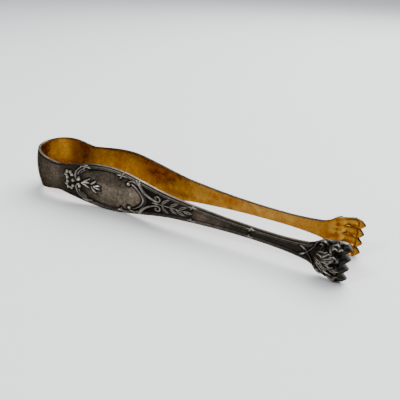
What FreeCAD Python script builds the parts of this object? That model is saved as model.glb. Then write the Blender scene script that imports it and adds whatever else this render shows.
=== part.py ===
"""Sugar tongs: a sprung U of plated metal, with a shaped arm on each leg and a lion's paw at each arm's end.

The tongs lie on their edges. X runs along them, from the crown of the bow to the claws. Y runs across, from the
near arm to the far one. Z is up, across the width of the strip. The origin is under the middle of the whole, on
the level of the lowest edge. The functions below work in the tongs' own measure: u is the distance along X from
the crown's middle surface, y is across, and z is up from the middle of the strip's width. vec() turns that
measure into a point about the origin. The far arm and paw are modelled, and the near ones are their mirror
images. Millimetres.
"""

import FreeCAD, Part
import math
import os

# Strip
METAL = 1.2                 # thickness
TONGS_LENGTH = 140.0        # crown's middle surface to the claws' tips

# Bow
BOW_RADIUS = 11.4           # middle surface of the round crown, seen from above
BOW_LEG = 6.6               # straight leg beyond the round, down to the seam with an arm
CROWN_WIDTH = 17.6          # strip's width at the crown
CROWN_DOME = 1.2            # how far the crown stands out in the middle of its width
NECK_WIDTH = 12.6           # strip's width at the seam
NECK_DOME = 0.5             # the same standing-out at the seam
BOW_STEPS = 12              # sections round the crown

# Arm, seen from above
SHOULDER_LENGTH = 36.0      # from the seam to where the arms run level
WAIST_HALF_GAP = 8.25       # from there on, middle plane to the middle surface of an arm
JAW_HALF_GAP = 8.8          # the same at the claws
JAW_FLARE_LENGTH = 40.0     # length over which the arms spread again

# Arm, seen from the side
BELLY_WIDTH = 19.4          # at the oval panel
BELLY_FROM_SEAM = 24.0
TAPER_WIDTH = 9.4           # where the arm's sides turn from convex to hollow
TAPER_FROM_BELLY = 30.0
TAPER_STEEPNESS = 1.4       # slope of its sides there, against their mean slope from belly to shank
SHANK_WIDTH = 4.8           # narrowest place
SHANK_FROM_WRIST = 16.0
WRIST_WIDTH = 7.0           # where the arm meets its paw
ARM_STEP = 5.0              # greatest distance between two sections along the arm

# Border of the arm's outer face
REEDS = 2                   # fillets along each edge
REED_WIDTH = 0.55
REED_HEIGHT = 0.25
REED_ROOT = 0.02            # height of a fillet where it dies away towards the bow
REED_START = 8.0            # from the seam to where the fillets begin to rise
REED_RUN = 8.0              # length over which they reach their height
PANEL_DOME = 0.35           # crown of the panel between the borders, at the belly
SHANK_DOME = 0.18           # the same at the shank
PANEL_HOLLOW = 0.2          # hollow of the gilt inner face

# Paw
PAW_LENGTH = 14.0           # wrist to the claws' tips
HEEL_WIDTH = 12.4           # over the tufts of the heel
HEEL_FROM_WRIST = 5.2
PAW_WIDTH = 14.4            # over the toes
KNUCKLE_FROM_TIP = 4.4      # from the claws' tips back to the middle of the toes
PAW_DOME = 1.9              # outer bulge of the paw's back
PAW_HOLLOW = 1.0            # hollow of its inner side
TOES = 4
TOE_GAP = 0.1               # between two toes, at their widest
TOE_LENGTH = 4.8
TOE_HEIGHT = 2.2
TOE_SINK = 0.5              # depth of a toe's middle below the surface of the paw's back
CLAW_LENGTH = 2.4
CLAW_GAP = 0.8              # between two claws at their roots
CLAW_TIP = 0.5              # width left at a claw's point
CLAW_DEPTH = 1.8            # root's depth across the strip
CLAW_SPLAY = 0.3            # how much wider apart the tips are than the roots, claw to claw

# Fullness of the paw's back at its sections: (width, dome, hollow). Width 0 is the wrist's width, 1 the heel's
# and 2 the toes'. Dome and hollow are shares of their full depths.
WRIST_FULLNESS = (0.0, 0.2, 0.25)
INSTEP_FULLNESS = (0.45, 0.5, 0.45)
HEEL_FULLNESS = (1.0, 0.85, 0.8)
PALM_FULLNESS = (1.6, 1.0, 1.0)
KNUCKLE_FULLNESS = (1.9, 0.9, 1.0)
CLAW_ROOT_FULLNESS = (1.7, 0.7, 0.8)

# Clearance
FLEX_SLIT = 0.06            # between the bow and an arm, so that the arm can turn on the seam

# Worked out
SEAM_U = BOW_RADIUS + BOW_LEG
WRIST_U = TONGS_LENGTH - PAW_LENGTH
BELLY_U = SEAM_U + BELLY_FROM_SEAM
TAPER_U = BELLY_U + TAPER_FROM_BELLY
SHANK_U = WRIST_U - SHANK_FROM_WRIST
FACE = METAL / 2
CROWN_FACE = FACE + CROWN_DOME
MIDDLE_U = (TONGS_LENGTH - CROWN_FACE) / 2
MIDDLE_Z = max(BELLY_WIDTH, CROWN_WIDTH, PAW_WIDTH) / 2
TOE_PITCH = PAW_WIDTH / TOES
UP = FreeCAD.Vector(0, 0, 1)
ACROSS = FreeCAD.Vector(0, 1, 0)


def vec(u, y, z):
    """A point of the tongs' own measure, as a vector about the origin of the part."""
    return FreeCAD.Vector(u - MIDDLE_U, y, z + MIDDLE_Z)


def smooth(value, low, high):
    """0 below low, 1 above high, and an even ease between."""
    t = min(1.0, max(0.0, (value - low) / (high - low)))
    return t * t * (3 - 2 * t)


def mix(first, second, share):
    return first + (second - first) * share


def half_gap(u):
    """Middle plane to the middle surface of an arm at u."""
    level = mix(BOW_RADIUS, WAIST_HALF_GAP, smooth(u, SEAM_U, SEAM_U + SHOULDER_LENGTH))
    flare = smooth(u, TONGS_LENGTH - JAW_FLARE_LENGTH, TONGS_LENGTH)
    return level + (JAW_HALF_GAP - WAIST_HALF_GAP) * flare


def arm_normal(u, step=0.01):
    """Outward normal (along u, across) of the far arm at u, seen from above."""
    slope = (half_gap(u + step) - half_gap(u - step)) / (2 * step)
    long = math.hypot(1, slope)
    return -slope / long, 1 / long


def width_curve():
    """Half-width of the arm from the seam to the wrist, as a plane curve through (u, half-width)."""
    stations = [
        (SEAM_U, NECK_WIDTH),
        (BELLY_U, BELLY_WIDTH),
        (TAPER_U, TAPER_WIDTH),
        (SHANK_U, SHANK_WIDTH),
        (WRIST_U, WRIST_WIDTH),
    ]
    level = FreeCAD.Vector(1, 0, 0)
    rising = FreeCAD.Vector(1, (BELLY_WIDTH - NECK_WIDTH) / 2 / BELLY_FROM_SEAM, 0)
    falling = FreeCAD.Vector(1, (SHANK_WIDTH - BELLY_WIDTH) / 2 / (SHANK_U - BELLY_U), 0)
    spreading = FreeCAD.Vector(1, (WRIST_WIDTH - SHANK_WIDTH) / SHANK_FROM_WRIST, 0)
    curve = Part.BSplineCurve()
    curve.interpolate(
        Points=[FreeCAD.Vector(u, width / 2, 0) for u, width in stations],
        Parameters=[u for u, _ in stations],
        Tangents=[rising, level, falling * TAPER_STEEPNESS, level, spreading],
        TangentFlags=[True] * len(stations),
    )
    return curve


def section(u, y, normal, profile):
    """A closed wire across the strip. profile is a list of edges, each a list of (offset, z) points:
    two for a straight line and three for an arc."""
    def point(offset, z):
        return vec(u + normal[0] * offset, y + normal[1] * offset, z)

    edges = []
    for run in profile:
        ends = [point(offset, z) for offset, z in run]
        curve = Part.Arc(*ends) if len(ends) == 3 else Part.LineSegment(*ends)
        edges.append(curve.toShape())
    return Part.Wire(edges)


def rim_and_back(half, hollow):
    """The edges that every section ends with: upper rim, hollow inner face and lower rim."""
    return [
        [(FACE, half), (-FACE, half)],
        [(-FACE, half), (hollow - FACE, 0), (-FACE, -half)],
        [(-FACE, -half), (FACE, -half)],
    ]


def plain_profile(half, dome, hollow):
    """A plain strip: domed outside, hollow inside, square edges."""
    return [[(FACE, -half), (FACE + dome, 0), (FACE, half)]] + rim_and_back(half, hollow)


def reeded_profile(half, dome, height):
    """A strip with fillets along both edges of its outer face and a crowned panel between them."""
    fillets = []
    for k in range(REEDS):
        low = k * REED_WIDTH - half
        fillets.append([(FACE, low), (FACE + height, low + REED_WIDTH / 2), (FACE, low + REED_WIDTH)])
    edge = half - REEDS * REED_WIDTH
    panel = [(FACE, -edge), (FACE + dome, 0), (FACE, edge)]
    others = [[(offset, -z) for offset, z in reversed(fillet)] for fillet in reversed(fillets)]
    return fillets + [panel] + others + rim_and_back(half, PANEL_HOLLOW)


def bow():
    """The sprung bow: half a ring and two straight legs, widest at the crown."""
    end = SEAM_U - FLEX_SLIT
    leg = [(end, math.pi / 2), (mix(BOW_RADIUS, end, 0.5), math.pi / 2)]
    ring = [(None, math.pi * (0.5 - k / BOW_STEPS)) for k in range(BOW_STEPS + 1)]
    other_leg = [(u, -angle) for u, angle in reversed(leg)]
    sections = []
    for leg_u, angle in leg + ring + other_leg:
        normal = (-math.cos(angle), math.sin(angle))
        u = BOW_RADIUS * (1 + normal[0]) if leg_u is None else leg_u
        narrowed = smooth(u, 0, end)
        half = mix(CROWN_WIDTH, NECK_WIDTH, narrowed) / 2
        dome = mix(CROWN_DOME, NECK_DOME, narrowed)
        sections.append(section(u, BOW_RADIUS * normal[1], normal, plain_profile(half, dome, dome)))
    return Part.makeLoft(sections, True, False)


def arm_places():
    """Where the arm's sections stand: on each station of its outline, and evenly between."""
    stations = [SEAM_U, BELLY_U, TAPER_U, SHANK_U, WRIST_U]
    places = [SEAM_U]
    for start, end in zip(stations, stations[1:]):
        count = math.ceil((end - start) / ARM_STEP)
        places += [mix(start, end, (k + 1) / count) for k in range(count)]
    return places


def arm():
    """The far arm: a reeded strip, wide at the oval panel and narrow at the shank."""
    width = width_curve()
    sections = []
    for u in arm_places():
        half = width.value(u).y
        begin = SEAM_U + REED_START
        height = mix(REED_ROOT, REED_HEIGHT, smooth(u, begin, begin + REED_RUN))
        dome = mix(NECK_DOME, PANEL_DOME, smooth(u, SEAM_U, BELLY_U))
        dome = mix(dome, SHANK_DOME, smooth(u, BELLY_U, SHANK_U))
        sections.append(section(u, half_gap(u), arm_normal(u), reeded_profile(half, dome, height)))
    return Part.makeLoft(sections, True, False)


def stretched(shape, centre, axes, factors):
    """shape, made about the origin, stretched along three axes and moved to centre."""
    columns = [axis * factor for axis, factor in zip(axes, factors)] + [centre]
    rows = [[getattr(column, name) for column in columns] for name in "xyz"]
    return shape.transformGeometry(FreeCAD.Matrix(*rows[0], *rows[1], *rows[2], 0, 0, 0, 1))


def paw_width(fullness):
    """Width of the paw's back: 0 is the wrist's, 1 the heel's and 2 the toes'."""
    if fullness <= 1:
        return mix(WRIST_WIDTH, HEEL_WIDTH, fullness)
    return mix(HEEL_WIDTH, PAW_WIDTH, fullness - 1)


def paw_back():
    """The back of the far paw: a hollow shell that widens over the heel's tufts and again over the toes."""
    knuckle = PAW_LENGTH - KNUCKLE_FROM_TIP
    stations = [
        (0.0, WRIST_FULLNESS),
        (HEEL_FROM_WRIST * INSTEP_FULLNESS[0], INSTEP_FULLNESS),
        (HEEL_FROM_WRIST, HEEL_FULLNESS),
        (mix(HEEL_FROM_WRIST, knuckle, PALM_FULLNESS[0] - 1), PALM_FULLNESS),
        (knuckle, KNUCKLE_FULLNESS),
        (PAW_LENGTH - CLAW_LENGTH, CLAW_ROOT_FULLNESS),
    ]
    sections = []
    for along, (width, dome, hollow) in stations:
        u = WRIST_U + along
        profile = plain_profile(paw_width(width) / 2, dome * PAW_DOME, hollow * PAW_HOLLOW)
        sections.append(section(u, half_gap(u), arm_normal(u), profile))
    return Part.makeLoft(sections, True, False)


def bulge(z):
    """How far the paw's back stands out at height z, near the toes."""
    return PAW_DOME * (1 - (z / (PAW_WIDTH / 2)) ** 2)


def toe(z):
    u = TONGS_LENGTH - KNUCKLE_FROM_TIP
    centre = vec(u, half_gap(u) + FACE + bulge(z) - TOE_SINK, z)
    size = (TOE_LENGTH / 2, TOE_HEIGHT / 2, (TOE_PITCH - TOE_GAP) / 2)
    return stretched(Part.makeSphere(1.0), centre, (FreeCAD.Vector(1, 0, 0), ACROSS, UP), size)


def claw(z, tip_z):
    """A claw from inside the paw's end, at height z, to its point at height tip_z."""
    root_u = TONGS_LENGTH - CLAW_LENGTH - TOE_SINK
    root = vec(root_u, half_gap(root_u) + bulge(z) / 2, z)
    tip = vec(TONGS_LENGTH, JAW_HALF_GAP, tip_z)
    length = (tip - root).Length
    along = (tip - root) * (1 / length)
    sideways = UP - along * UP.dot(along)
    sideways.normalize()
    width = TOE_PITCH - CLAW_GAP
    cone = Part.makeCone(width / 2, CLAW_TIP / 2, length)
    return stretched(cone, root, (sideways, along.cross(sideways), along), (1.0, CLAW_DEPTH / width, 1.0))


def paw():
    """The far paw: its back, with a toe and a claw for each digit."""
    body = paw_back()
    for k in range(TOES):
        place = k - (TOES - 1) / 2
        z = place * TOE_PITCH
        body = body.fuse(toe(z))
        body = body.fuse(claw(z, place * (TOE_PITCH + CLAW_SPLAY)))
    return body


def export(shape, name):
    solids = shape.Solids
    volume = round(sum(solid.Volume for solid in solids), 1)
    print(name, "solids", len(solids), "valid", shape.isValid(), "volume", volume)
    whole = solids[0] if len(solids) == 1 else Part.makeCompound(solids)
    whole.exportStep("parts/%s.step" % name)


def main():
    os.makedirs("parts", exist_ok=True)
    export(bow(), "spring_bow")
    for name, shape in (("arm", arm()), ("paw", paw())):
        export(shape, "far_" + name)
        export(shape.mirror(FreeCAD.Vector(0, 0, 0), ACROSS), "near_" + name)


main()
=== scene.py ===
"""The looks of a pair of sugar tongs: silver plate outside and gilt inside, with ornament and lion's paws.

Shapes are worked out in the tongs' own measure, in millimetres: u runs from the crown's middle surface to
the claws, y from the middle plane to an arm, and z up from the middle of the strip's width. to_frame()
moves that measure onto the frame. The far half is worked out, and the near half is its mirror image.
"""

import math

import bpy
import numpy as np
from mathutils import Matrix, Vector


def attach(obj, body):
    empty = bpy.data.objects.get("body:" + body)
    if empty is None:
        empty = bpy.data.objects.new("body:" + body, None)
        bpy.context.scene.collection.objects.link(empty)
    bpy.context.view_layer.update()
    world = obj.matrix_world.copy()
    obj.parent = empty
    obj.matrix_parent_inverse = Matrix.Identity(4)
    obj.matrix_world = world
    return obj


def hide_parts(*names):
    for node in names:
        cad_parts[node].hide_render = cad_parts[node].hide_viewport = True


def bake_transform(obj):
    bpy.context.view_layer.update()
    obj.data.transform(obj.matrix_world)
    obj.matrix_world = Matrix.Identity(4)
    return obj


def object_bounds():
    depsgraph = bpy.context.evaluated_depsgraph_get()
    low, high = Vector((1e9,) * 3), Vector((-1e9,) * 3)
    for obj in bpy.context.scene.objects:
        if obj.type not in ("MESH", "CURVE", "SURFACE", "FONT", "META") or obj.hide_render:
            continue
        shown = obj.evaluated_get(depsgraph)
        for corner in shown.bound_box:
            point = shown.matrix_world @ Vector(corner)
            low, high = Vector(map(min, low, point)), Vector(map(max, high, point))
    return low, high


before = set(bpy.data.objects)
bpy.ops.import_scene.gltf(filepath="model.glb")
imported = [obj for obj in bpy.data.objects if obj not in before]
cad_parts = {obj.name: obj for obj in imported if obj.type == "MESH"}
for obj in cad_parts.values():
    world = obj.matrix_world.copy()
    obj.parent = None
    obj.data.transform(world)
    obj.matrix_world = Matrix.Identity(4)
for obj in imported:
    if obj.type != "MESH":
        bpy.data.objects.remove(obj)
CAD_LOW, CAD_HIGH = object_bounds()
MM = 0.001

# Sizes of the strip, as in the CAD part
METAL = 1.2
FACE = METAL / 2
BOW_RADIUS = 11.4
SEAM_U = 18.0
CROWN_HALF = 8.8
NECK_HALF = 6.3
CROWN_DOME = 1.2            # how far the strip's outer face bulges, at the crown and further on
NECK_DOME = 0.5
BELLY_DOME = 0.35
SHANK_DOME = 0.18
INNER_DOME = 0.2            # how far the inner face is hollow, from the belly on
BELLY_U = 42.0
BELLY_HALF = 9.7
SHANK_U = 110.0
SHOULDER_END = 54.0
WAIST_HALF_GAP = 8.25
JAW_HALF_GAP = 8.8
FLARE_START = 100.0
WRIST_U = 126.0
TIP_U = 140.0
RIM_ROUND = 0.28            # rounding of the strip's corners
SEAM_ROW = 0.02             # from a seam to the row beside it, so that shading runs straight up to it
CROWN_ROW = 0.001           # the same at the crown, in radians
EDGE_RUN = 0.3              # from the rounding to where the relief has its full height

# Half-width of an arm: (u, half-width, slope)
ARM_OUTLINE = [
    (SEAM_U, NECK_HALF, 0.14),
    (BELLY_U, BELLY_HALF, 0.0),
    (72.0, 4.7, -0.12),
    (SHANK_U, 2.4, 0.0),
    (WRIST_U, 3.5, 0.17),
]

START_X = CAD_LOW.x / MM + FACE + CROWN_DOME
MIDDLE_Z = (CAD_LOW.z + CAD_HIGH.z) / 2 / MM


def to_frame(points):
    """Points of the tongs' own measure, as points of the frame in metres."""
    return (np.asarray(points, float) + (START_X, 0.0, MIDDLE_Z)) * MM


# ---------------------------------------------------------------- plain shape

def smooth(value, low, high):
    """0 up to low and 1 from high, with an even rise between them."""
    t = np.clip((value - low) / (high - low), 0.0, 1.0)
    return t * t * (3 - 2 * t)


def mix(first, second, share):
    return first + (second - first) * share


def bell(value, middle, spread):
    """1 at the middle, and soon 0 on both sides of it."""
    return np.exp(-(((value - middle) / spread) ** 2))


def read(table, u):
    """The value at u, between the (u, value) pairs of a table."""
    places, values = zip(*table)
    return np.interp(u, places, values)


def half_gap(u):
    """From the middle plane to the strip's middle surface."""
    level = mix(BOW_RADIUS, WAIST_HALF_GAP, smooth(u, SEAM_U, SHOULDER_END))
    return level + (JAW_HALF_GAP - WAIST_HALF_GAP) * smooth(u, FLARE_START, TIP_U)


def half_width(u):
    """Half the strip's width: the bow's narrowing, and then a smooth curve through the arm's outline."""
    u = np.asarray(u, float)
    result = mix(CROWN_HALF, NECK_HALF, smooth(u, 0.0, SEAM_U))
    for (u0, w0, s0), (u1, w1, s1) in zip(ARM_OUTLINE, ARM_OUTLINE[1:]):
        t = np.clip((u - u0) / (u1 - u0), 0.0, 1.0)
        long = u1 - u0
        piece = (2 * t**3 - 3 * t**2 + 1) * w0 + (t**3 - 2 * t**2 + t) * long * s0
        piece += (3 * t**2 - 2 * t**3) * w1 + (t**3 - t**2) * long * s1
        result = np.where((u > u0) & (u <= u1), piece, result)
    return result


def path(u_rows):
    """Middle surface and outward normal of the far arm at each u, seen from above."""
    step = 0.01
    slope = (half_gap(u_rows + step) - half_gap(u_rows - step)) / (2 * step)
    long = np.hypot(1.0, slope)
    return u_rows, half_gap(u_rows), -slope / long, 1 / long


def bow_path(count):
    """The same round a quarter of the crown."""
    angle = np.linspace(0, math.pi / 2, count, endpoint=False)
    angle = np.concatenate([[0.0, CROWN_ROW], angle[1:]])
    nu, ny = -np.cos(angle), np.sin(angle)
    return BOW_RADIUS * (1 + nu), BOW_RADIUS * ny, nu, ny


# ---------------------------------------------------------------- relief

DITCH_WIDTH = 0.72
DITCH_DEPTH = 0.14
DITCH_REACH = 2.2           # where a ditch has run out, in ditch widths
SWELL = 1.5                 # how soon a stroke has its full height as it widens
WORN_POWER = 0.8            # under 1, the worn metal goes further down a ridge's sides
LEAF_RIM = (0.68, 0.3)      # a hollow leaf's raised outline: place and width, as shares of the half-width
LEAF_HOLLOW = 0.45          # share of a leaf's half-width that lies low
LEAF_SHADE = 0.8


class Relief:
    """What is struck into a grid of (u, z) places: height, ground cut down beside it, worn brightness."""

    def __init__(self, u, z):
        self.u, self.z = u, z
        self.height = np.zeros(u.shape)
        self.groove = np.zeros(u.shape)
        self.shine = np.zeros(u.shape)

    def stroke(self, points, half_widths, top, mirror=True, hollow=False, shine=1.0, reach=1.0, power=0.5):
        """A ridge along a smooth curve, or a hollow leaf with a raised outline.

        Its section is round at a power of 0.5, and runs out softly into the ground at 1 or more.
        """
        line, radius = curve(points, half_widths)
        for side in ((1, -1) if mirror else (1,)):
            self._press(line * (1, side), radius, top, hollow, shine, reach, power)

    def _press(self, line, radius, top, hollow, shine, reach, power):
        margin = radius.max() + DITCH_REACH * DITCH_WIDTH
        low, high = line.min(axis=0) - margin, line.max(axis=0) + margin
        near = (self.u > low[0]) & (self.u < high[0]) & (self.z > low[1]) & (self.z < high[1])
        if not near.any():
            return
        away = np.hypot(self.u[near][:, None] - line[:, 0], self.z[near][:, None] - line[:, 1])
        closest = (away / radius).argmin(axis=1)
        away = away[np.arange(len(closest)), closest]
        thick = radius[closest]
        share = away / thick
        ridge = np.clip(1 - share**2, 0, 1) ** power
        worn = shine * ridge ** WORN_POWER
        beside = np.exp(-(((away - thick) / (DITCH_WIDTH * reach)).clip(0) ** 2)) * (share >= 1)
        if hollow:
            ridge = bell(share, *LEAF_RIM) * (share < 1)
            worn = shine * ridge
            beside = np.maximum(beside, (share < LEAF_HOLLOW) * LEAF_SHADE)
        swell = np.clip(thick / radius.max() * SWELL, 0, 1)
        self.height[near] = np.maximum(self.height[near], top * ridge * swell)
        self.shine[near] = np.maximum(self.shine[near], worn)
        self.groove[near] = np.maximum(self.groove[near], beside)

    def bead(self, u, z, radius, top, mirror=True, shine=1.0):
        self.stroke([(u, z), (u + 0.02, z)], [radius, radius], top, mirror=mirror, shine=shine)


def curve(points, half_widths, spacing=0.07):
    """A smooth (Catmull-Rom) line through points, sampled evenly, with half-widths eased along it."""
    p = np.asarray(points, float)
    p = np.vstack([2 * p[0] - p[1], p, 2 * p[-1] - p[-2]])
    samples = []
    for a, b, c, d in zip(p, p[1:], p[2:], p[3:]):
        count = max(2, int(np.linalg.norm(c - b) / spacing))
        t = np.linspace(0, 1, count, endpoint=False)[:, None]
        samples.append(0.5 * (2 * b + (c - a) * t + (2 * a - 5 * b + 4 * c - d) * t**2
                              + (3 * b - a - 3 * c + d) * t**3))
    line = np.vstack(samples + [p[-2][None, :]])
    share = np.linspace(0, 1, len(line))
    return line, np.interp(share, np.linspace(0, 1, len(half_widths)), half_widths)


# ---------------------------------------------------------------- ornament

TIES = [32.1, 49.3, 81.5, 105.2]

# How far the struck ornament strays from the arm's middle line: (u, z)
DRIFT = [(22.0, 0.32), (36.0, 0.2), (52.0, -0.42), (60.0, -0.4), (66.0, -0.1), (79.0, 0.18), (105.0, 0.1)]

PETALS = [10, 62, 124, 184, 236]        # degrees
PETAL_RING = 1.5                        # from a rosette's eye to its petals' middles
PETAL_SPAN = (1.4, 1.75)
HEAD_SCROLL = [(33.0, 8.3), (31.2, 7.7), (29.8, 6.9), (28.5, 5.85), (27.5, 4.75), (27.0, 3.5), (26.85, 2.3),
               (27.3, 1.25), (28.1, 0.7)]
FOOT_SCROLL = [(53.9, 5.5), (55.2, 4.95), (56.5, 4.05), (57.7, 3.05), (58.7, 1.9), (59.2, 0.9), (59.35, 0)]
FOOT_LINK = [(52.4, 6.05), (53.3, 6.55), (54.7, 6.65), (55.7, 6.35), (56.4, 5.75)]
SPREAD_SCROLL = [(56.4, 7.3), (57.4, 6.0), (58.6, 4.6), (60.0, 3.3), (61.5, 2.3), (63.2, 1.55), (64.9, 1.0),
                 (66.4, 1.0), (67.1, 1.7), (66.9, 2.7), (65.8, 3.1), (64.9, 2.6), (65.3, 1.9)]

# Leaves at the panel's head: (points, half-widths, height, shine)
SPRAYS = [
    ([(29.8, 0.0), (31.3, 1.0), (32.6, 1.9), (33.9, 2.6)], [0.3, 0.4, 0.36, 0.2], 0.45, 1.0),
    ([(30.4, 0.3), (32.0, 0.75), (33.6, 0.75)], [0.4, 0.5, 0.2], 0.45, 0.8),
    ([(30.2, -0.1), (31.8, -0.65), (33.4, -1.4)], [0.25, 0.44, 0.25], 0.45, 1.0),
    ([(34.6, 0.6), (35.8, 1.5), (36.9, 2.4)], [0.3, 0.4, 0.16], 0.45, 1.0),
    ([(35.6, -0.25), (37.0, 0.2), (38.6, 0.4)], [0.34, 0.36, 0.16], 0.45, 1.0),
    ([(35.8, -0.45), (37.1, -0.9), (38.5, -1.1)], [0.3, 0.32, 0.16], 0.45, 1.0),
    ([(34.6, -0.8), (35.6, -1.9), (36.6, -3.0)], [0.34, 0.5, 0.2], 0.48, 1.0),
]

# The laurel spray's leaves: (root, tip)
LAUREL = [((68.1, 0.5), (71.0, 2.9)), ((71.9, 0.45), (75.0, 2.3)), ((76.0, 0.4), (79.0, 2.0)),
          ((68.1, -0.5), (71.0, -2.8)), ((71.8, -0.35), (74.7, -1.9)), ((74.6, -0.35), (78.4, -1.7)),
          ((77.9, 0.0), (81.6, 0.0))]
LAUREL_LEAF = [0.2, 0.5, 0.56, 0.42, 0.12]


def ornament(relief):
    """The struck ornament of an arm's outer face."""
    for side in (1, -1):
        flower(relief, 23.6, 2.2 * side, side)
    relief.bead(25.5, 0.1, 0.74, 0.6, mirror=False)
    # C-scrolls at the head of the oval panel: three lines that leave the border and curl up
    relief.stroke([(28.5, 1.1), (28.6, 1.9)], [0.58, 0.62], 0.6)
    relief.stroke(HEAD_SCROLL, [0.26, 0.3, 0.34, 0.34, 0.26], 0.5, shine=0.5)
    inner_line = [(31.9, 6.85), (30.6, 6.25), (29.4, 5.3), (28.5, 4.3), (28.1, 3.3)]
    relief.stroke(inner_line, [0.2, 0.26, 0.2], 0.4, shine=0.5, reach=0.6)
    relief.stroke([(31.6, 5.95), (30.5, 5.2), (29.6, 4.3)], [0.18, 0.24, 0.16], 0.36, shine=0.42, reach=0.6)
    # sprays at the head of the panel
    for leaf, half_widths, top, shine in SPRAYS:
        relief.stroke(leaf, half_widths, top, mirror=False, shine=shine)
    # scroll round the panel's foot
    relief.stroke([(52.1, 5.2), (52.5, 5.15)], [0.62, 0.6], 0.6)
    relief.stroke(FOOT_LINK, [0.2, 0.26, 0.22], 0.4, shine=0.55)
    relief.stroke(FOOT_SCROLL, [0.16, 0.26, 0.3, 0.38], 0.5, shine=0.6)
    outer_line = [(57.4, 4.9), (58.9, 3.1), (60.1, 1.3), (60.4, 0)]
    relief.stroke(outer_line, [0.12, 0.16, 0.18], 0.2, shine=0.15, reach=0.5)
    # scrolls that spread from the border and meet over the spray
    relief.stroke(SPREAD_SCROLL, [0.5, 0.58, 0.56, 0.46, 0.36, 0.28, 0.24, 0.2], 0.55, shine=0.6)
    relief.stroke([(57.6, 7.4), (57.75, 5.8)], [0.4, 0.44], 0.5, shine=0.7)
    relief.stroke([(63.8, 0), (66.2, 0)], [0.2, 0.3], 0.4, mirror=False, shine=0.8)
    # laurel spray below the panel
    relief.stroke([(66.6, 0), (78.4, 0)], [0.2, 0.12], 0.25, mirror=False, shine=0.35, reach=0.6)
    for root, tip in LAUREL:
        half = ((root[0] + tip[0]) / 2 - 0.25, (root[1] + tip[1]) / 2 * 1.06)
        relief.stroke([root, half, tip], LAUREL_LEAF, 0.36, mirror=False, hollow=True, shine=0.7, reach=0.8)
    for u in TIES:
        tie(relief, u)
    relief.stroke([(123.6, 1.6), (124.4, 1.2), (125.1, 0.8)], [0.2, 0.36, 0.2], 0.4, shine=0.8)
    cuff(relief)


def flower(relief, u, z, side):
    """A rosette of five petals round a dark eye, open towards the bead between the two rosettes."""
    ways = [math.radians(angle * side) for angle in PETALS]
    ring = [(u + PETAL_RING * math.cos(way), z + PETAL_RING * math.sin(way)) for way in ways]
    relief.stroke(ring, [0.3, 0.34], 0.4, mirror=False, shine=0.55)
    for way in ways:
        petal = [(u + far * math.cos(way), z + far * math.sin(way)) for far in PETAL_SPAN]
        relief.stroke(petal, [0.5, 0.6], 0.55, mirror=False, shine=0.9)


def tie(relief, u):
    """A ribbon crossed over the border on each edge, with a leaf to each side of it."""
    edge = float(half_width(u))
    size = 0.5 + 0.5 * min(1.0, edge / 9)
    ribbon = [(u - 0.85 * size, edge - 2.5 * size), (u, edge - 1.25 * size), (u + 0.8 * size, edge - 0.05)]
    relief.stroke(ribbon, [0.3, 0.42, 0.3], 0.55, shine=0.42)
    for way in (1, -1):
        leaf = [(u + way * 0.7 * size, edge - 1.3 * size), (u + way * 2.4 * size, edge - 1.45 * size)]
        relief.stroke(leaf, [0.34 * size, 0.3 * size], 0.45, shine=0.36, reach=0.6)


def cuff(relief):
    """Two lines that cross at the wrist."""
    line = [(128.3, 4.4), (128.0, 3.1), (127.1, 1.6), (126.1, 0.3), (125.1, -0.9)]
    relief.stroke(line, [0.16, 0.2, 0.1], 0.35, shine=0.3, reach=0.7)


# ---------------------------------------------------------------- border and panel

FILLETS = 2
FIRST_FILLET = 0.78         # from the arm's edge
NARROW, WIDE = 2.4, 8.0     # half-widths that the two pitches are for
NARROW_PITCH, WIDE_PITCH = 0.56, 0.68
FILLET_HALF = 0.4           # half a fillet's width, in pitches
FILLET_HEIGHT = 0.3
FILLET_SHINE = (0.26, 0.13)     # of the first fillet and of the next
SLIM_SHINE = 0.7            # share of that shine where the arm is slim
BORDER_START = (TIES[0] - 0.6, TIES[0] + 0.8)
BORDER_END = (127.0, 127.6)
PANEL_U = 44.0
PANEL_LONG, PANEL_HIGH = 16.5, 7.9
PANEL_HEIGHT = 0.35


def border_phase(z, half):
    """Distance from the edge, counted in fillets: 0 on the first fillet, 1 on the next."""
    pitch = mix(NARROW_PITCH, WIDE_PITCH, smooth(half, NARROW, WIDE))
    return (half - np.abs(z) - FIRST_FILLET) / pitch


def border_length(u):
    """1 where an arm has its border, from the first tie to the cuff."""
    return smooth(u, *BORDER_START) * (1 - smooth(u, *BORDER_END))


def border(u, z, half):
    """Fillets along both edges."""
    phase = border_phase(z, half)
    near = np.clip(np.round(phase), 0, FILLETS - 1)
    away = (phase - near) / FILLET_HALF
    return FILLET_HEIGHT * np.sqrt(np.clip(1 - away**2, 0, 1)) * border_length(u)


def border_paint(u, z, half):
    """(worn bright, dark) of the border: bright along the fillets and dark between them."""
    phase = border_phase(z, half)
    near = np.clip(np.round(phase), 0, FILLETS - 1)
    shine = np.where(near == 0, *FILLET_SHINE) * mix(SLIM_SHINE, 1, smooth(half, 3.2, 6.0))
    worn = bell(phase, near, 0.24) * shine
    dark = smooth(phase, -1.15, -0.75) * (1 - smooth(phase, FILLETS - 0.2, FILLETS + 0.5))
    dark *= 1 - bell(phase, near, 0.26)
    return worn * border_length(u), dark * border_length(u)


def oval_panel(u, z):
    """A gently cushioned oval between the borders."""
    inside = 1 - ((u - PANEL_U) / PANEL_LONG) ** 2 - (z / PANEL_HIGH) ** 2
    return PANEL_HEIGHT * np.sqrt(np.clip(inside, 0, 1))


# ---------------------------------------------------------------- meshes

BOW_ROWS = 44
OUTER_COLUMNS = 140
INNER_COLUMNS = 24
CORNER_POINTS = 3           # round each of the strip's four corners
RIM_POINTS = 2 * CORNER_POINTS
EDGE_CROWDING = 1.0         # radians: how much closer the columns stand near the edges


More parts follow.
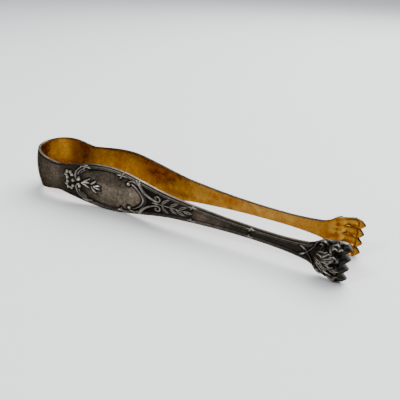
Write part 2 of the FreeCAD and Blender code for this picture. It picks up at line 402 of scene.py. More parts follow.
def build(name, loops, paint, gilt_columns, materials, mirrored):
    """A closed mesh from loops round the strip, row by row. paint holds the materials' values per point."""
    paint = rim_paint(paint, loops[..., 0], mirrored)
    rows, around = loops.shape[:2]
    points = loops.reshape(-1, 3).copy()
    index = np.arange(rows * around).reshape(rows, around)
    ahead = np.roll(index, -1, axis=1)
    quads = np.stack([index[:-1], ahead[:-1], ahead[1:], index[1:]], axis=-1).reshape(-1, 4)
    caps = [index[0][::-1].tolist()] + end_cap(index[-1], gilt_columns[0])
    if mirrored:
        points[:, 1] *= -1
        quads = quads[:, ::-1]
        caps = [cap[::-1] for cap in caps]
    mesh = bpy.data.meshes.new(name)
    mesh.from_pydata(to_frame(points).tolist(), [], quads.tolist() + caps)
    column = np.tile(np.arange(around), rows - 1)
    gilt = (column >= gilt_columns[0]) & (column < gilt_columns[1])
    on_caps = np.zeros(len(caps), bool)
    mesh.polygons.foreach_set("material_index", np.concatenate([gilt, on_caps]).astype(np.int32))
    mesh.polygons.foreach_set("use_smooth", np.concatenate([np.ones(len(quads), bool), on_caps]))
    for key, values in paint.items():
        layer = mesh.attributes.new(key, "FLOAT", "POINT")
        layer.data.foreach_set("value", values.reshape(-1).astype(np.float32))
    place = mesh.attributes.new("place", "FLOAT_VECTOR", "POINT")
    place.data.foreach_set("vector", points.astype(np.float32).reshape(-1))
    mesh.update()
    for material in materials:
        mesh.materials.append(material)
    piece = bpy.data.objects.new(name, mesh)
    bpy.context.collection.objects.link(piece)
    return piece


def rim_paint(paint, along, near_half):
    """The paint with its rims: wear and a painted highlight on the near half, tarnish and painted shade on
    the far half.
    """
    tarnish_and_shade = read(RIM_TARNISH_AND_SHADE, along) if near_half else FAR_RIM_TARNISH_AND_SHADE
    shine = read(RIM_WEAR_AND_HIGHLIGHT, along) if near_half else 0.0
    rim = paint["rim"]
    return {"high": paint["high"], "deep": np.maximum(paint["deep"], tarnish_and_shade * rim), "rim": rim * shine}


def end_cap(loop, columns):
    """Faces that close a loop: across it from outer to inner points where it has as many of each."""
    if len(loop) != 2 * columns:
        return [loop.tolist()]
    outer, inner = loop[:columns], loop[columns:][::-1]
    return [[outer[k], outer[k + 1], inner[k + 1], inner[k]] for k in range(columns - 1)]


# Rows along an arm, closer together where the ornament is: (start, end, step)
ROW_SPANS = [(BOW_RADIUS, 22.0, 0.45), (22.0, 84.0, 0.19), (84.0, 103.4, 0.45), (103.4, 106.6, 0.18),
             (106.6, 120.8, 0.45), (120.8, WRIST_U, 0.17)]


def arm_rows():
    rows = [np.linspace(a, b, max(2, round((b - a) / step)), endpoint=False) for a, b, step in ROW_SPANS]
    return np.concatenate(rows + [[WRIST_U - SEAM_ROW, WRIST_U]])


def domes(u):
    """How far the strip bulges outside, and how far it is hollow inside."""
    at_bow = mix(CROWN_DOME, NECK_DOME, smooth(u, 0, SEAM_U))
    on_arm = smooth(u, SEAM_U, BELLY_U)
    outside = mix(mix(at_bow, BELLY_DOME, on_arm), SHANK_DOME, smooth(u, BELLY_U, SHANK_U))
    return outside, mix(outside, INNER_DOME, on_arm)


def upper_rim(half, dome, hollow):
    """(offset, z) of the points round the upper rim, from the outer face to the inner one."""
    flat = half - RIM_ROUND
    bulge = 1 - (flat / half) ** 2
    outer = FACE - RIM_ROUND + dome * bulge
    inner = -FACE + RIM_ROUND + hollow * bulge
    turns = np.linspace(0, math.pi / 2, CORNER_POINTS + 1)
    first = [(outer + RIM_ROUND * math.cos(t), flat + RIM_ROUND * math.sin(t)) for t in turns[1:]]
    second = [(inner - RIM_ROUND * math.sin(t), flat + RIM_ROUND * math.cos(t)) for t in turns[:-1]]
    offsets, heights = zip(*(first + second))
    return np.concatenate(offsets, axis=1), np.concatenate(heights, axis=1)


def strip():
    """Loops, paint and gilt columns of the far half of the tongs, from the crown to the wrist."""
    u, y, nu, ny = (np.concatenate(pair)[:, None] for pair in zip(bow_path(BOW_ROWS), path(arm_rows())))
    half = half_width(u)
    dome, hollow = domes(u)
    flat = half - RIM_ROUND
    # outer face
    across = np.sin(np.linspace(-EDGE_CROWDING, EDGE_CROWDING, OUTER_COLUMNS)) / math.sin(EDGE_CROWDING)
    z = flat * across
    outer_u = np.repeat(u, OUTER_COLUMNS, axis=1)
    relief = struck(outer_u, z)
    edge = np.clip((half - np.abs(z) - RIM_ROUND) / EDGE_RUN, 0, 1)
    outer = FACE + dome * (1 - (z / half) ** 2) + relief_height(relief, outer_u, z, half) * edge
    # inner face
    inner_z = flat * np.linspace(1, -1, INNER_COLUMNS)
    inner_u = np.repeat(u, INNER_COLUMNS, axis=1)
    inner = -FACE + hollow * (1 - (inner_z / half) ** 2)
    # each loop: outer face, upper rim, inner face, lower rim
    rim_offset, rim_z = upper_rim(half, dome, hollow)
    offset = np.concatenate([outer, rim_offset, inner, rim_offset[:, ::-1]], axis=1)
    zs = np.concatenate([z, rim_z, inner_z, -rim_z[:, ::-1]], axis=1)
    loops = np.stack([u + nu * offset, y + ny * offset, zs], axis=-1)
    return loops, strip_paint(relief, outer_u, z, inner_u, inner_z, half), GILT_COLUMNS


INNER_START = OUTER_COLUMNS + RIM_POINTS
GILT_COLUMNS = (INNER_START - 1, INNER_START + INNER_COLUMNS)
BESIDE_BORDER = 0.85        # how dark the corner beside the border is painted


def strip_paint(relief, outer_u, z, inner_u, inner_z, half):
    """Paint of the strip's loops."""
    rows = len(half)
    high, deep, rim = (np.zeros((rows, INNER_START + INNER_COLUMNS + RIM_POINTS)) for _ in range(3))
    # rim columns: a painted highlight on the near half and painted shade on the far half, given in
    # rim_paint
    rim[:, OUTER_COLUMNS + 1:INNER_START] = 1
    rim[:, -RIM_POINTS:-1] = 1
    worn, dark = relief_paint(relief, outer_u, z, half)
    high[:, :OUTER_COLUMNS] = soften(worn)
    deep[:, :OUTER_COLUMNS] = dark
    beside_border = BESIDE_BORDER * border_length(outer_u[:, :1])
    deep[:, OUTER_COLUMNS:OUTER_COLUMNS + 2] = beside_border
    deep[:, -2:] = beside_border
    high[:, INNER_START:-RIM_POINTS] = gilt_pallor(inner_u, inner_z)
    deep[:, INNER_START:-RIM_POINTS] = gilt_stain_and_shade(inner_u, inner_z)
    return {"high": high, "deep": deep, "rim": rim}


def struck(u, z):
    """The ornament struck at places (u, z), with the die's drift."""
    relief = Relief(u, z - read(DRIFT, u))
    ornament(relief)
    return relief


def soften(grid, times=1):
    """The grid with each place averaged with its neighbours, so that no step is ragged."""
    soft = np.array(grid, float)
    for _ in range(times):
        rows = (soft[:-2] + 2 * soft[1:-1] + soft[2:]) / 4
        soft[1:-1, 1:-1] = (rows[:, :-2] + 2 * rows[:, 1:-1] + rows[:, 2:]) / 4
    return soft


BARE = 0.02                 # ground that no stroke raises by more
COVERED = 0.08              # height from which a stroke's own shine counts
DITCH_SPREAD = 4            # the higher, the further the dark beside a stroke goes


def ditch_depth(relief):
    return DITCH_DEPTH * relief.groove * (relief.height < BARE)


def relief_height(relief, u, z, half):
    """Height of border, panel and ornament over the plain face."""
    panel = oval_panel(u, z)
    return soften(np.maximum(border(u, z, half) + panel, relief.height + panel) - ditch_depth(relief))


def relief_paint(relief, u, z, half):
    """(worn bright, dark) of the outer face."""
    worn, dark = border_paint(u, z, half)
    covered = relief.height > COVERED
    high = np.where(covered, relief.shine, worn)
    ditch = 1 - (1 - relief.groove) ** DITCH_SPREAD
    shade = np.where(covered, 0.0, np.maximum(dark, ditch))
    return np.clip(high, 0, 1), np.clip(np.maximum(shade, ground_shade(u, z, half)), 0, 1)


# ---------------------------------------------------------------- wear, tarnish and painted light and shade

# How bright the near half's rims are painted, wear and painted highlight together: (u, share)
RIM_WEAR_AND_HIGHLIGHT = [(0.0, 0.1), (16.0, 0.08), (24.0, 0.02), (31.0, 0.0), (36.0, 0.2), (60.0, 0.16), (80.0, 0.08),
             (86.0, 0.02), (126.0, 0.02), (130.0, 0.15), (136.0, 0.15), (138.0, 0.5), (140.0, 0.5)]

# Tarnish and painted shade on the near half's rims: (u, share)
RIM_TARNISH_AND_SHADE = [(0.0, 0.2), (16.0, 0.3), (24.0, 0.5), (31.0, 0.55), (36.0, 0.1), (60.0, 0.1), (76.0, 0.35),
               (86.0, 0.75), (140.0, 0.75)]

# tarnish and painted shade on the far half's rims, which get no painted highlight
FAR_RIM_TARNISH_AND_SHADE = 0.75

# How dark the plain ground of the outer face is painted along the arm: (u, share)
GROUND_DARKENING = [(0.0, 0.62), (5.0, 0.58), (8.0, 0.64), (12.0, 0.66), (16.0, 0.55), (20.0, 0.78), (26.0, 0.9),
           (30.0, 0.88), (36.0, 0.42), (44.0, 0.2), (57.5, 0.1), (59.5, 0.98), (68.0, 0.96), (80.0, 0.88),
           (84.0, 0.62), (90.0, 0.66), (98.0, 0.88), (126.0, 0.93)]
# painted shade under the upper edge only, not under the lower one
UPPER_EDGE_SHADE = 0.93
PANEL_UPPER_SHADE = 0.7         # painted shade in the panel's upper part
PANEL_EDGE_TARNISH = 0.9
PANEL_EDGE_LONG = 16.2      # half the length of the oval that has this dark edge


def ground_shade(u, z, half):
    """Darkening along the arm, painted shade at the upper edge and panel's upper part, tarnish round the
    panel.
    """
    along = read(GROUND_DARKENING, u)
    upper_edge = UPPER_EDGE_SHADE * smooth(z, half - 2.6, half - 0.5)
    on_panel = smooth(u, 28.0, 34.0) * (1 - smooth(u, 56.5, 59.0))
    upper_part = PANEL_UPPER_SHADE * smooth(z, -0.5, 3.6) * (1 - 0.4 * smooth(u, 50.0, 57.0))
    from_middle = ((u - PANEL_U) / PANEL_EDGE_LONG) ** 2 + (z / PANEL_HIGH) ** 2
    panel_edge = PANEL_EDGE_TARNISH * smooth(from_middle, 0.72, 1.0)
    return np.maximum(np.maximum(along, upper_edge), on_panel * np.maximum(upper_part, panel_edge))


# Brown stain on the gilding, and painted red-brown shade heaviest round the bow's bend, with a painted
# highlight gap: (u, share)
GILT_STAIN_AND_SHADE = [(0.0, 0.4), (0.8, 0.2), (1.8, 0.0), (3.0, 0.05), (4.2, 0.38), (5.5, 0.66), (8.0, 0.5),
                (13.0, 0.3), (16.0, 0.22), (20.0, 0.0), (24.0, 0.04), (30.0, 0.2), (44.0, 0.18),
                (56.0, 0.06), (70.0, 0.12), (80.0, 0.26), (114.0, 0.32), (121.0, 0.42), (127.0, 0.4),
                (130.0, 0.05)]

# Gilding painted paler towards the jaws: (u, share)
GILT_PALLOR = [(60.0, 0.0), (86.0, 0.2), (104.0, 0.35), (113.0, 0.3), (122.0, 0.1), (140.0, 0.1)]
LOWER_PALLOR = 0.65         # share of that in the lower half

# Single stains on the gilding: (u, z, half-length, half-height, share)
GILT_STAINS = [(14.5, 1.5, 4.0, 6.0, 0.3), (44.0, 7.8, 7.0, 2.2, 0.4), (66.0, -2.8, 8.0, 1.7, 0.62),
               (81.0, -2.0, 5.0, 1.1, 0.45), (110.0, -1.3, 3.5, 0.9, 0.45), (60.0, 1.2, 4.0, 1.6, 0.25)]


def gilt_pallor(u, z):
    return read(GILT_PALLOR, u) * mix(LOWER_PALLOR, 1, smooth(z, -1.5, 1.5))


def gilt_stain_and_shade(u, z):
    # stains, and painted shade in the bow's bend
    tarnish_and_shade = read(GILT_STAIN_AND_SHADE, u)
    for middle_u, middle_z, half_long, half_high, share in GILT_STAINS:
        away = ((u - middle_u) / half_long) ** 2 + ((z - middle_z) / half_high) ** 2
        tarnish_and_shade = np.maximum(tarnish_and_shade, share * np.exp(-away))
    return tarnish_and_shade


# ---------------------------------------------------------------- paws

PAW_COLUMNS = 211
PAW_ROWS = 170
TOES = 4
ROOT_U = 137.9              # bottom of the notches between the claws
CLAW_U = 137.0              # where the claws leave the toes
CLAW_POWER = 0.75           # under 1, the claws' sides are rounded outwards
WIDEST_U = 136.4
WIDEST_HALF = 7.5
PAW_OUTLINE = [(WRIST_U, 3.5), (127.9, 4.35), (129.0, 5.3), (130.8, 6.5), (132.2, 6.75), (133.4, 6.75),
               (135.0, 7.3), (WIDEST_U, WIDEST_HALF), (138.0, 7.3), (TIP_U, 7.2)]
CORNER_EASE = 0.7           # how far each side of a corner the outline is eased
EASE_STEPS = [-1.0, -0.6, -0.2, 0.2, 0.6, 1.0]
PAW_EDGE_ROUND = 0.45
PAW_EDGE_SHARE = 0.3        # half-thickness left at the paw's edge, as a share of the strip's
WRIST_RUN = 2.6             # length over which the strip's section turns into the paw's
BACK_HEIGHT = 1.9           # of the paw's rounded back
CLAW_HEIGHT = 0.85
CUTICLE_DEPTH = 0.2
KNUCKLES = [(133.9, 0.9, 0.4), (136.2, 0.8, 0.5)]       # (u, half-length, height)
TOE_HEIGHT = 0.4
HOLLOW_DEPTH = 1.0          # inside the paw
HEEL_FOLD = 0.3
FUR_HEIGHT = 0.4


def paw_half(u):
    """Half the paw's height: the outline's corners are eased, but not at the seam."""
    ease = CORNER_EASE * np.clip((u - WRIST_U) / CORNER_EASE, 0, 1)
    return sum(read(PAW_OUTLINE, u + ease * step) for step in EASE_STEPS) / len(EASE_STEPS)


def toe_wave(share):
    """Across the paw: 1 on the middle line of each toe, 0 between two toes. share runs from -1 to 1."""
    phase = (share + 1) / 2 * TOES
    return 1 - np.abs((phase % 1.0) - 0.5) * 2


def paw():
    """Loops, paint and gilt columns of the far paw."""
    share = np.linspace(-1, 1, PAW_COLUMNS)
    along = np.linspace(0, 1, PAW_ROWS)
    along = np.insert(along, 1, SEAM_ROW / (TIP_U - WRIST_U))
    point = toe_wave(share) ** CLAW_POWER
    point[0] = point[-1] = 0
    end = ROOT_U + (TIP_U - ROOT_U) * point
    u = WRIST_U + (end - WRIST_U)[None, :] * along[:, None]
    half = paw_half(u)
    z = half * share
    middle = half_gap(u)
    flank = 1 - share[None, :] ** 2
    phase = toe_wave(np.repeat(share[None, :], len(along), axis=0))
    round_toe = np.sqrt(np.clip(1 - (1 - phase) ** 2, 0, 1))
    toes = smooth(u, 131.8, 133.6) * (1 - smooth(u, CLAW_U, 138.2))
    knuckles = TOE_HEIGHT + sum(height * bell(u, at, long) for at, long, height in KNUCKLES)
    relief = struck(u, z)
    fur_curls(relief)
    fur = fur_lines(u, z) * fur_zone(u)
    # the strip's section at the wrist, and the paw's own beyond
    foot = smooth(u, WRIST_U, WRIST_U + WRIST_RUN)
    rounding = mix(RIM_ROUND, PAW_EDGE_ROUND, foot)
    left = mix(1 - RIM_ROUND / FACE, PAW_EDGE_SHARE, foot)
    edge_distance = np.minimum((1 - np.abs(share)) * half, (end - u) * 0.8)
    edge = np.sqrt(np.clip(1 - (1 - np.clip(edge_distance / rounding, 0, 1)) ** 2, 0, 1))
    run_in = mix(np.clip((edge_distance - RIM_ROUND) / EDGE_RUN, 0, 1), edge, foot)
    thick = FACE * (left + (1 - left) * edge)
    # outer side
    narrow = np.clip((phase - 0.35) / 0.65, 0, 1)
    claws = CLAW_HEIGHT * np.sqrt(narrow) * smooth(u, 136.9, 137.3) * (1 - 0.5 * smooth(u, 138.0, TIP_U))
    back = BACK_HEIGHT * smooth(u, 126.3, 131.5) * flank**0.7 * (1 - 0.75 * smooth(u, 136.5, TIP_U))
    cuticle = CUTICLE_DEPTH * bell(u, 136.95, 0.28) * round_toe
    carved = np.maximum(relief.height, border(u, z, half) + oval_panel(u, z))
    carved = soften(np.maximum(carved, fur) - ditch_depth(relief), times=3)
    raised = back + np.maximum(round_toe * knuckles * toes, claws) + carved - cuticle
    fading = mix(1, edge, foot)
    outer = thick + raised * run_in + SHANK_DOME * flank * fading
    # inner side
    hollow = HOLLOW_DEPTH * smooth(u, 126.5, 131.0) * flank * (1 - 0.6 * smooth(u, 137, 139))
    inner_toes = (0.55 * round_toe + 0.35 * knuckles * round_toe) * toes
    heel_fold = HEEL_FOLD * bell(u, 130.6, 1.1) * np.cos(z * 1.4)
    inside = -thick + (hollow + inner_toes + heel_fold) * edge + INNER_DOME * flank * fading
    outer_points = np.stack([u, middle + outer, z], axis=-1)
    inner_points = np.stack([u, middle + inside, z], axis=-1)
    loops = round_loop(outer_points, inner_points)
    high, deep = paw_paint(u, z, half, relief, fur, phase, round_toe, toes)
    # painted shade in the grooves between the toes
    grooves = GROOVE_SHADE * bell(phase, 0, 0.22) * smooth(u, 133.0, 135.5)
    inner_deep = np.maximum(np.maximum(0.5 * smooth(u, 138.2, 139.8), grooves), gilt_stain_and_shade(u, z))
    # the paw's edges take the rims' painted highlight and painted shade as well
    rim = PAW_RIM * (1 - edge)
    paint = {"high": round_loop(high, gilt_pallor(u, z)), "deep": round_loop(deep, inner_deep),
             "rim": round_loop(rim, rim)}
    return loops, paint, (PAW_COLUMNS, 2 * PAW_COLUMNS - 1)


def round_loop(outer, inner):
    """Rows that go across the outer side and back across the inner one."""
    return np.concatenate([outer, inner[:, ::-1]], axis=1)


GROOVE_SHADE = 0.72       # painted shade between the toes, on the gilt side
PAW_RIM = 0.8
STRAND_SHINE = 0.12
KNUCKLE_SHINE = 0.22
CLAW_SHINE = 0.05
PAW_GROUND = 0.99           # tarnish between the strands
STRAND_GROUND = 0.92        # and on those that stand out


def paw_paint(u, z, half, relief, fur, phase, round_toe, toes):
    """(worn bright, dark) of the paw's back: nearly black, and worn on the strands and the knuckles."""
    worn, dark = relief_paint(relief, u, z, half)
    on_paw = smooth(u, 127.4, 128.6)
    strands = STRAND_SHINE * np.clip((fur / FUR_HEIGHT - 0.72) / 0.28, 0, 1) ** 1.2
    knuckle = KNUCKLE_SHINE * round_toe**12 * toes * (bell(u, 134.2, 0.5) + bell(u, 136.3, 0.4))
    covered = relief.height > COVERED
    high = np.where(covered, relief.shine, np.maximum(strands, knuckle))
    high = mix(high, CLAW_SHINE, smooth(u, CLAW_U, 137.5))
    warm = (1 - smooth(u, 131.0, 134.5)) * (1 - smooth(np.abs(z), 3.0, 5.0))
    ground = PAW_GROUND - 0.08 * warm
    between_toes = bell(phase, 0, 0.3) * smooth(u, 132.0, 133.5)
    before_claw = bell(u, CLAW_U, 0.35)
    deep = np.maximum(np.maximum(ground, between_toes), np.maximum(before_claw, relief.groove))
    deep = np.where(covered, STRAND_GROUND, deep)
    high, deep = mix(worn, high, on_paw), mix(dark, deep, on_paw)
    return np.clip(soften(high), 0, 1), np.clip(soften(deep), 0, 1)


# ---------------------------------------------------------------- fur

FUR_START = 128.0
WAVE_LONG = 4.4             # length of a strand's wave
WAVE_WIDE = 0.95
STRAND_PITCH = 1.18


def fur_zone(u):
    """1 where the paw has fur, from the heel to the toes."""
    return smooth(u, 128.4, 129.4) * (1 - smooth(u, 136.2, 137.2))


def fur_lines(u, z):
    """Wavy strands that run from the wrist to the toes, and spread towards them."""
    way = np.where(z >= 0, 1.0, -1.0)
    wander = WAVE_WIDE * np.sin((u - 128.9) * 2 * math.pi / WAVE_LONG + 0.35 * z)
    spread = 1 + 0.07 * (u - FUR_START)
    phase = ((z + 0.25 * (u - FUR_START) * way) / spread + wander) * 2 * math.pi / STRAND_PITCH
    tuft = 0.78 + 0.22 * np.sin(u * 1.9 + z * 1.1)
    return FUR_HEIGHT * (0.5 + 0.5 * np.cos(phase)) * tuft


# Strands of the paw's fur that stand out: (u, z) along each
STRANDS = [
    [(129.7, 2.1), (130.7, 2.75), (131.9, 2.7), (132.7, 3.3)],
    [(129.2, 1.2), (130.3, 1.35), (131.2, 1.0), (132.1, 1.7), (133.1, 2.75), (134.0, 2.9)],
    [(131.0, 0.25), (132.1, 0.6), (133.2, 1.2), (134.3, 2.3), (135.5, 2.35), (136.7, 1.4)],
    [(131.4, -0.35), (132.6, 0.0), (133.9, 0.55), (135.2, 1.5)],
    [(130.9, -1.0), (132.2, -0.65), (133.4, -0.55), (134.4, 0.3), (135.3, 0.6)],
    [(128.6, -0.5), (129.8, -0.65), (130.7, -0.9), (131.4, -1.75), (132.1, -2.5), (133.0, -2.65),
     (134.0, -1.9)],
    [(128.9, -1.2), (130.0, -1.6), (130.9, -2.1), (131.7, -3.0), (132.7, -3.5), (133.7, -3.2)],
    [(132.2, -1.6), (133.4, -1.15), (134.5, -1.5), (135.4, -1.2)],
    [(134.6, -2.6), (135.7, -1.95), (136.8, -2.45), (138.0, -2.1)],
    [(134.4, -3.4), (135.6, -2.85), (136.7, -3.5)],
    [(129.2, -2.1), (130.0, -2.6), (130.7, -3.2), (131.5, -4.1), (132.7, -4.7)],
    [(133.2, 5.0), (133.6, 4.1), (134.1, 2.9)],
    [(134.1, 4.8), (134.9, 5.25), (135.8, 5.0)],
    [(135.9, 5.0), (136.8, 5.4), (137.7, 5.3)],
    [(128.9, -3.8), (129.9, -4.9), (131.1, -5.6), (132.2, -5.5)],
    [(133.6, -5.1), (134.7, -5.9), (135.9, -6.2)],
    [(135.9, -5.2), (136.9, -4.8), (137.9, -5.0)],
    [(132.2, -3.7), (133.3, -4.2), (134.3, -4.2), (135.3, -4.9)],
]
STRAND_HALF = [0.08, 0.25, 0.31, 0.25, 0.08]
HEEL_TUFT = [(128.5, 4.3), (129.1, 5.3), (130.2, 5.9), (131.4, 6.0), (132.3, 5.5)]
HEEL_LOCK = [(129.6, 4.65), (130.2, 4.9), (130.8, 4.8)]
TOE_TUFT = [(133.9, 6.0), (135.2, 6.5), (136.5, 6.2)]


def fur_curls(relief):
    """The strands, and a curled tuft on each side of the heel and on each outer toe."""
    for strand in STRANDS:
        relief.stroke(strand, STRAND_HALF, 0.46, mirror=False, shine=0.66, reach=0.2, power=1.3)
    relief.stroke(HEEL_TUFT, [0.12, 0.4, 0.14], 0.7, shine=0.28, power=1.2)
    relief.stroke(HEEL_LOCK, [0.08, 0.26, 0.08], 0.4, shine=0.5, reach=0.4, power=1.2)
    relief.stroke(TOE_TUFT, [0.12, 0.36, 0.12], 0.55, shine=0.26, power=1.2)


# ---------------------------------------------------------------- materials

METALLIC = 0.95
BUMP = 0.2
SILVER_SPECKLE = [(0.3, (0.095, 0.072, 0.057)), (0.5, (0.165, 0.128, 0.102)), (0.72, (0.29, 0.235, 0.19))]
SILVER_CLOUD = [(0.38, (0.62, 0.68, 0.58)), (0.62, (1.0, 0.95, 0.93))]
# black of the tarnish in the recesses, also used for painted shade
BLACK_TARNISH_AND_SHADE = (0.003, 0.0032, 0.0026)
WORN_SILVER = (0.56, 0.5, 0.43)
# worn rims together with their painted highlight
WORN_AND_LIT_RIM_SILVER = (0.78, 0.74, 0.68)
SILVER_EDGE_TINT = (0.3, 0.3, 0.285, 1)
SILVER_GRAIN = 0.00006      # metres
GOLD_SPECKLE = [(0.3, (0.29, 0.118, 0.008)), (0.48, (0.36, 0.165, 0.012)), (0.7, (0.47, 0.25, 0.026))]
GOLD_STAIN = [(0.27, (0.72, 0.5, 0.36)), (0.45, (0.93, 0.86, 0.79)), (0.56, (1.0, 1.0, 1.0))]
PALE_GOLD = (0.46, 0.32, 0.13)
# of the gilding's stains and of its painted shade
RED_BROWN_STAIN_AND_SHADE = (0.085, 0.011, 0.002)
GOLD_EDGE_TINT = (0.95, 0.72, 0.4, 1)
GOLD_GRAIN = 0.00008        # metres


def nodes_of(material):
    """The node tree of a material, its nodes, its links and its shader."""
    material.use_nodes = True
    tree = material.node_tree
    return tree, tree.nodes, tree.links, tree.nodes["Principled BSDF"]


def attribute(nodes, name):
    node = nodes.new("ShaderNodeAttribute")
    node.attribute_name = name
    return node


def noise(tree, vector, scale, detail=4.0, roughness=0.6):
    node = tree.nodes.new("ShaderNodeTexNoise")
    node.inputs["Scale"].default_value = scale
    node.inputs["Detail"].default_value = detail
    node.inputs["Roughness"].default_value = roughness
    tree.links.new(vector, node.inputs["Vector"])
    return node.outputs["Fac"]


def drawn_out(tree, vector, factors):
    """The places with each axis multiplied by its factor: a small factor draws a pattern out along it."""
    node = tree.nodes.new("ShaderNodeVectorMath")
    node.operation = "MULTIPLY"
    tree.links.new(vector, node.inputs[0])
    node.inputs[1].default_value = factors
    return node.outputs[0]


def ramp(tree, value, stops):
    node = tree.nodes.new("ShaderNodeValToRGB")
    elements = node.color_ramp.elements
    while len(elements) < len(stops):
        elements.new(0.5)
    for element, (place, colour) in zip(elements, stops):
        element.position = place
        element.color = (*colour, 1)
    tree.links.new(value, node.inputs["Fac"])
    return node.outputs["Color"]


def blend_colour(tree, share, first, second, kind="MIX"):
    """first where share is 0, and second, or their product, where it is 1."""
    node = tree.nodes.new("ShaderNodeMix")
    node.data_type = "RGBA"
    node.blend_type = kind
    for socket, value in (("Factor", share), ("A", first), ("B", second)):
        target = [s for s in node.inputs if s.name == socket and s.enabled][0]
        if isinstance(value, bpy.types.NodeSocket):
            tree.links.new(value, target)
        elif isinstance(value, tuple):
            target.default_value = (*value, 1)
        else:
            target.default_value = value
    return [s for s in node.outputs if s.enabled][0]


def maths(tree, operation, first, second=0.0, third=0.0):
    node = tree.nodes.new("ShaderNodeMath")
    node.operation = operation
    for socket, value in zip(node.inputs, (first, second, third)):
        if isinstance(value, bpy.types.NodeSocket):
            tree.links.new(value, socket)
        else:
            socket.default_value = value
    return node.outputs[0]


def roughen(tree, shader, pattern, depth):
    """Fine unevenness of a metal's surface."""
    bump = tree.nodes.new("ShaderNodeBump")
    bump.inputs["Strength"].default_value = BUMP
    bump.inputs["Distance"].default_value = depth
    tree.links.new(pattern, bump.inputs["Height"])
    tree.links.new(bump.outputs["Normal"], shader.inputs["Normal"])


def silver():
    """Tarnished silver plate: brown-grey, black in recesses and painted shade, bright on worn heights and
    lit rims.
    """
    material = bpy.data.materials.new("tarnished_silver")
    tree, nodes, links, shader = nodes_of(material)
    place = attribute(nodes, "place").outputs["Vector"]
    high, deep, rim = (attribute(nodes, name).outputs["Fac"] for name in ("high", "deep", "rim"))
    speckle = noise(tree, place, 0.9, 3.0, 0.6)
    cloud = noise(tree, place, 0.16, 3.0, 0.6)
    base = ramp(tree, speckle, SILVER_SPECKLE)
    base = blend_colour(tree, 1.0, base, ramp(tree, cloud, SILVER_CLOUD), "MULTIPLY")
    # black tarnish, which also paints the shade that deep carries
    dark = blend_colour(tree, deep, base, BLACK_TARNISH_AND_SHADE)
    worn = maths(tree, "MULTIPLY", high, maths(tree, "MULTIPLY_ADD", speckle, 1.4, 0.1))
    bright = blend_colour(tree, worn, dark, WORN_SILVER)
    # the rims' wear and painted highlight
    edge = maths(tree, "MULTIPLY", rim, maths(tree, "MULTIPLY_ADD", cloud, 0.8, 0.1))
    links.new(blend_colour(tree, edge, bright, WORN_AND_LIT_RIM_SILVER), shader.inputs["Base Color"])
    rough = maths(tree, "MULTIPLY_ADD", high, -0.1, maths(tree, "MULTIPLY_ADD", speckle, 0.2, 0.26))
    links.new(rough, shader.inputs["Roughness"])
    shader.inputs["Metallic"].default_value = METALLIC
    shader.inputs["Specular Tint"].default_value = SILVER_EDGE_TINT
    roughen(tree, shader, noise(tree, place, 3.0, 4.0, 0.7), SILVER_GRAIN)
    return material


def gilt():
    """Worn gilding: orange gold with brown and red-brown stains, and red-brown painted shade in the bow and
    toes.
    """
    material = bpy.data.materials.new("worn_gilding")
    tree, nodes, links, shader = nodes_of(material)
    place = attribute(nodes, "place").outputs["Vector"]
    high, deep = (attribute(nodes, name).outputs["Fac"] for name in ("high", "deep"))
    fine = noise(tree, place, 0.42, 3.0, 0.5)
    cloud = noise(tree, drawn_out(tree, place, (0.5, 1.0, 1.0)), 0.17, 3.0, 0.5)
    gold = ramp(tree, fine, GOLD_SPECKLE)
    pale = maths(tree, "MULTIPLY", high, maths(tree, "MULTIPLY_ADD", fine, 1.6, -0.1))
    gold = blend_colour(tree, pale, gold, PALE_GOLD)
    gold = blend_colour(tree, 1.0, gold, ramp(tree, cloud, GOLD_STAIN), "MULTIPLY")
    # brown stains, and painted red-brown shade in the bow's bend and between the toes
    links.new(blend_colour(tree, deep, gold, RED_BROWN_STAIN_AND_SHADE), shader.inputs["Base Color"])
    links.new(maths(tree, "MULTIPLY_ADD", fine, 0.3, 0.14), shader.inputs["Roughness"])
    shader.inputs["Metallic"].default_value = METALLIC
    shader.inputs["Specular Tint"].default_value = GOLD_EDGE_TINT
    roughen(tree, shader, noise(tree, place, 1.2, 3.0, 0.6), GOLD_GRAIN)
    return material


# ---------------------------------------------------------------- the object


def tongs():
    """Four pieces: a strip and a paw for each half."""
    materials = [silver(), gilt()]
    strip_shape, paw_shape = strip(), paw()
    for side in ("near", "far"):
        mirrored = side == "near"
        body = side + "_side"
        arm = build(side + "_strip", *strip_shape, materials, mirrored)
        foot = build(side + "_lion_paw", *paw_shape, materials, mirrored)
        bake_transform(arm)
        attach(foot, body)
        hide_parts(side + "_arm", "spring_bow")
        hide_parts(side + "_paw")


# ---------------------------------------------------------------- floor, light and camera

TABLE_HALF = 3.0            # metres
TABLE_GAP = 0.0001          # metres
TABLE_COLOUR = (0.74, 0.755, 0.765, 1)
TABLE_ROUGHNESS = 0.55


def floor():
    """A pale table that touches the lower edges of the bellies and of the paws."""
    belly = to_frame((BELLY_U, 0.0, -BELLY_HALF))
    paw_edge = to_frame((WIDEST_U, 0.0, -WIDEST_HALF))
    slope = (paw_edge[2] - belly[2]) / (paw_edge[0] - belly[0])
    corners = [(x * TABLE_HALF, y * TABLE_HALF, belly[2] + (x * TABLE_HALF - belly[0]) * slope - TABLE_GAP)
               for x, y in ((-1, -1), (1, -1), (1, 1), (-1, 1))]
    mesh = bpy.data.meshes.new("table_top")
    mesh.from_pydata(corners, [], [(0, 1, 2, 3)])
    table = bpy.data.objects.new("table_top", mesh)
    bpy.context.collection.objects.link(table)
    material = bpy.data.materials.new("pale_table")
    shader = nodes_of(material)[3]
    shader.inputs["Base Color"].default_value = TABLE_COLOUR
    shader.inputs["Roughness"].default_value = TABLE_ROUGHNESS
    mesh.materials.append(material)


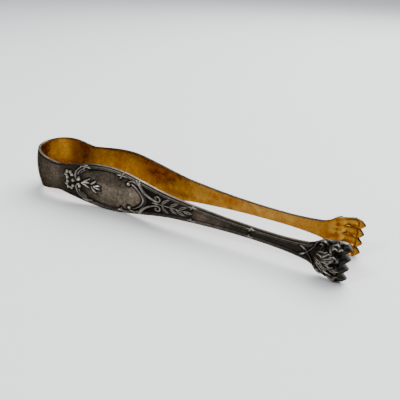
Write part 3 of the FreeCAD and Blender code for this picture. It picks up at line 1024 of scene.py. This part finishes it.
# Lamps, aimed at the origin: (name, place, size, power, colour)
LAMPS = [
    ("window", (0.1, 0.55, 0.76), 1.0, 19.0, (1.0, 0.99, 0.97)),
    ("front", (-0.24, -0.44, 0.5), 0.1, 2.2, (1.0, 0.98, 0.95)),
    ("ceiling", (-0.1, 0.0, 0.9), 0.9, 3.0, (0.97, 0.98, 1.0)),
]

# The room around the table, from its dark side in front to its light side behind and above: (lean, colour)
ROOM = [(0.22, (0.13, 0.13, 0.135)), (0.5, (0.27, 0.28, 0.29)), (0.8, (0.93, 0.96, 1.0))]
LEAN_BACK = 0.75
LEAN_UP = 0.6


def lamp(name, place, size, power, colour):
    light = bpy.data.lights.new(name, "AREA")
    light.shape = "DISK"
    light.size = size
    light.energy = power
    light.color = colour
    holder = bpy.data.objects.new(name, light)
    bpy.context.collection.objects.link(holder)
    holder.location = place
    holder.rotation_euler = (-Vector(place)).to_track_quat("-Z", "Y").to_euler()


def lights():
    """Three soft lamps in a pale room."""
    world = bpy.data.worlds.new("studio")
    bpy.context.scene.world = world
    world.use_nodes = True
    tree = world.node_tree
    background = tree.nodes["Background"]
    direction = tree.nodes.new("ShaderNodeSeparateXYZ")
    tree.links.new(tree.nodes.new("ShaderNodeTexCoord").outputs["Generated"], direction.inputs[0])
    up = maths(tree, "MULTIPLY", direction.outputs["Z"], LEAN_UP)
    lean = maths(tree, "MULTIPLY_ADD", direction.outputs["Y"], LEAN_BACK, up)
    colour = ramp(tree, maths(tree, "MULTIPLY_ADD", lean, 0.5, 0.5), ROOM)
    tree.links.new(colour, background.inputs["Color"])
    background.inputs["Strength"].default_value = 1.0
    for row in LAMPS:
        lamp(*row)


CAMERA_TARGET = (0.00825, 0.00413, 0.00907)
CAMERA_AZIMUTH = math.radians(28.6)
CAMERA_ELEVATION = math.radians(27.12)
CAMERA_ROLL = math.radians(2.74)
CAMERA_DISTANCE = 0.18724
CAMERA_LENS = 42.41         # millimetres, on a sensor 36 mm wide


def camera():
    data = bpy.data.cameras.new("camera")
    data.sensor_width = 36.0
    data.lens = CAMERA_LENS
    data.clip_start = 0.01
    data.clip_end = 20.0
    view = bpy.data.objects.new("camera", data)
    bpy.context.collection.objects.link(view)
    level = math.cos(CAMERA_ELEVATION)
    back = Vector((math.sin(CAMERA_AZIMUTH) * level, -math.cos(CAMERA_AZIMUTH) * level,
                   math.sin(CAMERA_ELEVATION)))
    turn = (-back).to_track_quat("-Z", "Y").to_matrix() @ Matrix.Rotation(CAMERA_ROLL, 3, "Z")
    view.matrix_world = Matrix.Translation(Vector(CAMERA_TARGET) + back * CAMERA_DISTANCE) @ turn.to_4x4()
    bpy.context.scene.camera = view


tongs()
floor()
lights()
camera()
